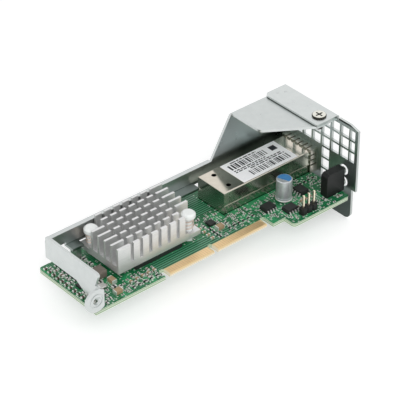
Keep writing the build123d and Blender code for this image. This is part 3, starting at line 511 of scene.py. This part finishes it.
# The can is satin grey and lightly mottled, the rubber is dull black, and the leads are bright
can_grey = finish("satin_aluminium_can", "#B2B6B9", "#E4E7E9", CAN_MOTTLE, roughness=0.34, metallic=0.7)
can_blue = finish("blue_polarity_ink", "#2F6FA6", "#4B92CC", INK_CLOUD, roughness=0.3)
black_rubber = finish("black_rubber", "#181818", "#242425", RUBBER_GRIT, roughness=0.7, relief=0.01)
tin_lead = finish("tinned_copper", "#E6E5E1", "#FBFAF7", TIN_GRAIN, roughness=0.32, metallic=0.7)
dress(can_grey, "capacitor_can")
dress(black_rubber, "capacitor_bung")
dress(tin_lead, "capacitor_leads", "lamp_leads", "chip_leads", "chip_end_caps")
can_low, can_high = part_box("capacitor_can")
can_top = Vector(((can_low.x + can_high.x) / 2, (can_low.y + can_high.y) / 2, can_high.z))
can_radius = (can_high.x - can_low.x) / 2
MARK_MARGIN, MARK_THICK = 0.4 * MM, 0.02 * MM
MARK_CUT, MARK_SIDE = 0.35, Vector((0.94, 0.34, 0))
MARK_STEPS = 40
mark_radius = can_radius - MARK_MARGIN
mark = bmesh.new()
bmesh.ops.create_circle(mark, cap_ends=True, segments=MARK_STEPS, radius=mark_radius,
                        matrix=Matrix.Translation(can_top))
bmesh.ops.bisect_plane(mark, geom=mark.verts[:] + mark.edges[:] + mark.faces[:], plane_no=MARK_SIDE,
                       plane_co=can_top - MARK_SIDE * mark_radius * MARK_CUT, clear_inner=True)
raised = bmesh.ops.extrude_face_region(mark, geom=mark.faces[:])["geom"]
raised_points = [part for part in raised if isinstance(part, bmesh.types.BMVert)]
bmesh.ops.translate(mark, vec=(0, 0, MARK_THICK), verts=raised_points)
bmesh.ops.recalc_face_normals(mark, faces=mark.faces)
piece("can_mark", mark, can_blue)

# Crimped rim of the can
# The can's open end is rolled over the bung, which leaves a round rim at its foot.
# The rolling burnishes it, so it is as bright as the tinned leads and shares their finish.
RIM_THICK = 0.24 * MM
RIM_RISE = 0.25 * MM
rim_form = bmesh.new()
ring(rim_form, Vector((can_top.x, can_top.y, can_low.z + RIM_RISE)), (0, 0, 1), can_radius, RIM_THICK)
piece("can_rim", rim_form, tin_lead)

# Pin header and indicator block
# Square gold-flashed pins pressed into a black nylon base, and a black two-lamp housing of the same nylon.
# The lamps are cast in clear epoxy and look out through the holes of the plate.
NYLON_SHINE = 0.35
# Moulded nylon is near black with little gloss, the flash is a pale gold, and the epoxy is clear
header_nylon = finish("black_nylon", "#0F1110", "#181A19", MOULD_GRIT, roughness=0.5, relief=0.01)
shader_of(header_nylon)[1].inputs["Specular IOR Level"].default_value = NYLON_SHINE
pin_gold = finish("gold_flashed_pin", "#E8DCC0", "#F8F0D8", TIN_GRAIN, roughness=0.28, metallic=1.0)
lamp_clear = finish("clear_lamp_epoxy", "#DFE7DF", "#F1F5F1", MOULD_CLOUD, roughness=0.1,
                    transmission_weight=0.7)
dress(header_nylon, "header_base", "lamp_block")
dress(pin_gold, "header_pins")
dress(lamp_clear, "indicator_lamps")

# Solder joints
# Each through-hole lead is soldered on the underside.
# The solder draws up into a small bright cone round the lead's end.
JOINT_FOOT, JOINT_TIP, JOINT_HEIGHT = 0.85 * MM, 0.4 * MM, 0.55 * MM
JOINT_STEPS = 18
SAME_LEAD = 1.0 * MM
joints = bmesh.new()
for node in ("header_pins", "capacitor_leads", "lamp_leads"):
    places = []
    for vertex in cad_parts[node].data.vertices:
        point = Vector((vertex.co.x, vertex.co.y, 0))
        if vertex.co.z > board_low.z:
            continue
        group = next((group for group in places if (group[0] - point).length < SAME_LEAD), None)
        if group:
            group.append(point)
        else:
            places.append([point])
    for group in places:
        middle = sum(group, Vector()) / len(group)
        middle.z = board_low.z - JOINT_HEIGHT / 2
        bmesh.ops.create_cone(joints, cap_ends=True, segments=JOINT_STEPS, radius1=JOINT_TIP,
                              radius2=JOINT_FOOT, depth=JOINT_HEIGHT, matrix=Matrix.Translation(middle))
piece("solder_joints", joints, tin_lead)

# Choke, crystal and chip parts
# Surface-mount parts soldered to the board: a pressed-powder choke, a metal crystal can,
# brown ceramic capacitors, darker at the board's left end, and black resistors with tinned ends.
PALE_START = 8.0
POWDER_GRIT, CERAMIC_GRAIN = 0.35, 0.5
# Pressed powder is rough, the crystal's can is plain satin steel, and fired ceramic is smooth and matt
choke_grey = finish("pressed_iron_powder", "#665F57", "#837A70", POWDER_GRIT, roughness=0.6, relief=0.02)
crystal_steel = finish("crystal_can_steel", "#BDBDB9", "#CFCFCB", TIN_GRAIN, roughness=0.25, metallic=1.0)
ceramic_tan = finish("brown_ceramic", "#977F62", "#B1997A", CERAMIC_GRAIN, roughness=0.45, relief=0.01)
tree, shader = shader_of(ceramic_tan)
overlay(tree, shader, within(tree, place_of(tree)[0], -FAR, PALE_START), linear("#4A3F34"))
resistor_black = finish("black_resistor_glaze", "#151514", "#1F1F1E", CERAMIC_GRAIN, roughness=0.35)
dress(choke_grey, "power_choke")
dress(crystal_steel, "crystal_can")
dress(ceramic_tan, "ceramic_capacitors")
dress(resistor_black, "chip_resistors")

# Fine chip parts
# The smallest capacitors and resistors fill the free board between the larger pieces.
# Each is a body between two tinned ends soldered on two pads, with white ink strokes beside some.
TINY, SMALL, MEDIUM, LARGE = (0.6, 0.3, 0.3), (1.0, 0.5, 0.4), (1.6, 0.8, 0.5), (2.0, 1.2, 0.7)
END_SHARE = 0.32
PAD_PROUD, PAD_THICK = 0.13, 0.03
INK_LINE, STROKE_SHARE, LENGTHWISE_SHARE = 0.2, 0.35, 0.5
CLEAR, GRID = 0.22, 0.4
SOLDER_ROUND, SOLDER_STEPS = 0.08 * MM, 1
STAND_LOW, STAND_HIGH = -0.5, 2.0
CHIP_SEED = 23
# Each field has its two corners, the tries made in it and the sizes drawn from
FIELDS = (
    (0.7, 0.8, 8.8, 30.6, 420, (MEDIUM, MEDIUM, LARGE)),
    (8.8, 0.8, 16.0, 30.0, 220, (SMALL, MEDIUM, LARGE)),
    (16.0, 0.8, 31.0, 8.3, 260, (SMALL, MEDIUM, MEDIUM)),
    (55.8, 9.2, 68.8, 19.4, 110, (TINY, SMALL, SMALL, MEDIUM)),
    (58.0, 4.8, 69.0, 9.0, 40, (TINY, SMALL)),
    (69.0, 4.8, 80.0, 13.7, 110, (TINY, SMALL, SMALL, MEDIUM)),
    (80.6, -0.6, 85.4, 13.7, 60, (TINY, SMALL)),
    (86.0, -5.8, 112.2, 4.0, 150, (TINY, SMALL, SMALL, MEDIUM)),
    (86.0, 4.0, 112.2, 13.7, 90, (TINY, SMALL)),
)
taken = []
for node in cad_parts.values():
    if node.name in ("circuit_board", "edge_contacts"):
        continue
    mesh = node.data
    for face in mesh.polygons:
        points = [mesh.vertices[index].co for index in face.vertices]
        heights = [point.z / MM for point in points]
        if min(heights) < STAND_HIGH and max(heights) > STAND_LOW:
            xs = [(point.x - LEFT) / MM for point in points]
            ys = [point.y / MM for point in points]
            taken.append((min(xs), min(ys), max(xs), max(ys)))


def is_free(low_x, low_y, high_x, high_y):
    """True if nothing stands on this patch of the board."""
    return all(high_x < x0 or x1 < low_x or high_y < y0 or y1 < low_y for x0, y0, x1, y1 in taken)


draw_chip = random.Random(CHIP_SEED)
chip_forms = {name: bmesh.new() for name in ("capacitors", "resistors", "ends", "pads", "ink")}
for field_x, field_y, field_end_x, field_end_y, tries, sizes in FIELDS:
    for _ in range(tries):
        length, width, height = draw_chip.choice(sizes)
        lengthwise = draw_chip.random() < LENGTHWISE_SHARE
        half_x, half_y = (length / 2, width / 2) if lengthwise else (width / 2, length / 2)
        x = round(draw_chip.uniform(field_x + half_x, field_end_x - half_x) / GRID) * GRID
        y = round(draw_chip.uniform(field_y + half_y, field_end_y - half_y) / GRID) * GRID
        kind = draw_chip.choice(("capacitors", "resistors", "resistors"))
        stroked = draw_chip.random() < STROKE_SHARE
        room = (x - half_x - CLEAR, y - half_y - CLEAR, x + half_x + CLEAR, y + half_y + CLEAR)
        if not is_free(*room):
            continue
        taken.append(room)
        end = length * END_SHARE
        stretches = ((0, end, "ends"), (end, length - end, kind), (length - end, length, "ends"))
        for start, stop, form in stretches:
            if lengthwise:
                low, high = (x - half_x + start, y - half_y), (x - half_x + stop, y + half_y)
            else:
                low, high = (x - half_x, y - half_y + start), (x + half_x, y - half_y + stop)
            block(chip_forms[form], (*low, PAD_THICK), (*high, height))
            if form == "ends":
                block(chip_forms["pads"], (low[0] - PAD_PROUD, low[1] - PAD_PROUD, 0),
                      (high[0] + PAD_PROUD, high[1] + PAD_PROUD, PAD_THICK))
        if stroked:
            side = half_y + PAD_PROUD + INK_LINE
            block(chip_forms["ink"], (x - half_x, y - side - INK_LINE, 0), (x + half_x, y - side, INK))
for form in ("ends", "capacitors", "resistors"):
    round_edges(chip_forms[form], SOLDER_ROUND, SOLDER_STEPS)
# Reflowed solder is dull and grainy, fired ceramic is matt, and legend ink is a flat white
fine_ceramic = finish("dark_brown_ceramic", "#544637", "#6A5A49", CERAMIC_GRAIN, roughness=0.45)
dull_tin = finish("dull_solder_tin", "#CDCFC9", "#E8E8E3", TIN_GRAIN, roughness=0.4, metallic=0.6)
white_ink = finish("white_legend_ink", "#DCE3DB", "#EEF3ED", INK_GRAIN, roughness=0.6)
piece("fine_capacitors", chip_forms["capacitors"], fine_ceramic)
piece("fine_resistors", chip_forms["resistors"], resistor_black)
piece("fine_chip_ends", chip_forms["ends"], dull_tin)
piece("fine_chip_pads", chip_forms["pads"], dull_tin)
piece("legend_strokes", chip_forms["ink"], white_ink)

# Floor
# A pale seamless sweep of matt paper under the card, which keeps the card's soft shadow.
# Seen directly or in a reflection it glows up to the white of the room.
FLOOR_HALF = 3.0
FLOOR_GLOW = 0.47
PAPER_CLOUD = 40.0
floor_form = bmesh.new()
bmesh.ops.create_grid(floor_form, x_segments=1, y_segments=1, size=FLOOR_HALF,
                      matrix=Matrix.Translation((0, 0, cad_low.z)))
floor_mesh = bpy.data.meshes.new("floor")
floor_form.to_mesh(floor_mesh)
floor_form.free()
floor = bpy.data.objects.new("floor", floor_mesh)
bpy.context.scene.collection.objects.link(floor)
floor_paper = finish("white_paper_sweep", "#D9D9D9", "#DBDBDB", PAPER_CLOUD, roughness=0.9)


def seen_directly(tree):
    """1 where the camera, a reflection or a clear piece looks at the surface."""
    path = add(tree, "ShaderNodeLightPath")
    rays = [path.outputs[name] for name in ("Is Camera Ray", "Is Glossy Ray", "Is Transmission Ray")]
    pair = add(tree, "ShaderNodeMath", {0: rays[0], 1: rays[1]}, operation="MAXIMUM")
    return add(tree, "ShaderNodeMath", {0: pair.outputs[0], 1: rays[2]}, operation="MAXIMUM").outputs[0]


tree, shader = shader_of(floor_paper)
glow = add(tree, "ShaderNodeMath", {0: seen_directly(tree), 1: FLOOR_GLOW}, operation="MULTIPLY")
shader.inputs["Emission Color"].default_value = linear("#FFFFFF")
tree.links.new(glow.outputs[0], shader.inputs["Emission Strength"])
floor_mesh.materials.append(floor_paper)
floor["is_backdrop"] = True

# Light
# A white room, seen at full white, lights the card at about half of it, with a key box and a weak fill.
# The boxes show in no reflection, so that the pale metal mirrors the room alone and doesn't clip.
ROOM_LIGHT, ROOM_SEEN = 0.56, 1.0
# Each box has its place from the card's middle and its size, both in metres, and its power in watts
SOFT_BOXES = (
    ("key_box", (-0.42, -0.5, 0.5), 0.45, 3.6),
    ("fill_box", (0.6, -0.3, 0.4), 0.5, 0.8),
)
world = bpy.data.worlds.new("white_room")
bpy.context.scene.world = world
world.use_nodes = True
tree = world.node_tree
strength = add(tree, "ShaderNodeMapRange", {0: seen_directly(tree), 3: ROOM_LIGHT, 4: ROOM_SEEN})
background = tree.nodes["Background"]
background.inputs["Color"].default_value = linear("#FFFFFF")
tree.links.new(strength.outputs[0], background.inputs["Strength"])
middle = (cad_low + cad_high) / 2
for name, offset, size, power in SOFT_BOXES:
    lamp = bpy.data.lights.new(name, "AREA")
    lamp.size = size
    lamp.energy = power
    lamp_object = bpy.data.objects.new(name, lamp)
    lamp_object.visible_glossy = False
    lamp_object.location = middle + Vector(offset)
    lamp_object.rotation_euler = (-Vector(offset)).to_track_quat("-Z", "Y").to_euler()
    bpy.context.scene.collection.objects.link(lamp_object)

# Camera
# The photograph's angle: a long lens from the front left, well above the card.
# The picture is 400 by 400, so the sensor's width is also its height.
CAMERA_PLACE = (-0.3738, -0.4265, 0.4193)
CAMERA_TILT, CAMERA_TURN = math.radians(54.96), math.radians(-40.64)
FOCAL_LENGTH, SENSOR_WIDTH = 180, 36
NEAREST, FARTHEST = 0.01, 10
lens = bpy.data.cameras.new("camera")
lens.lens = FOCAL_LENGTH
lens.sensor_width = SENSOR_WIDTH
lens.clip_start = NEAREST
lens.clip_end = FARTHEST
camera = bpy.data.objects.new("camera", lens)
camera.location = CAMERA_PLACE
camera.rotation_euler = (CAMERA_TILT, 0, CAMERA_TURN)
bpy.context.scene.collection.objects.link(camera)
bpy.context.scene.camera = camera
bpy.context.scene.view_settings.view_transform = "Standard"

low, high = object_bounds()
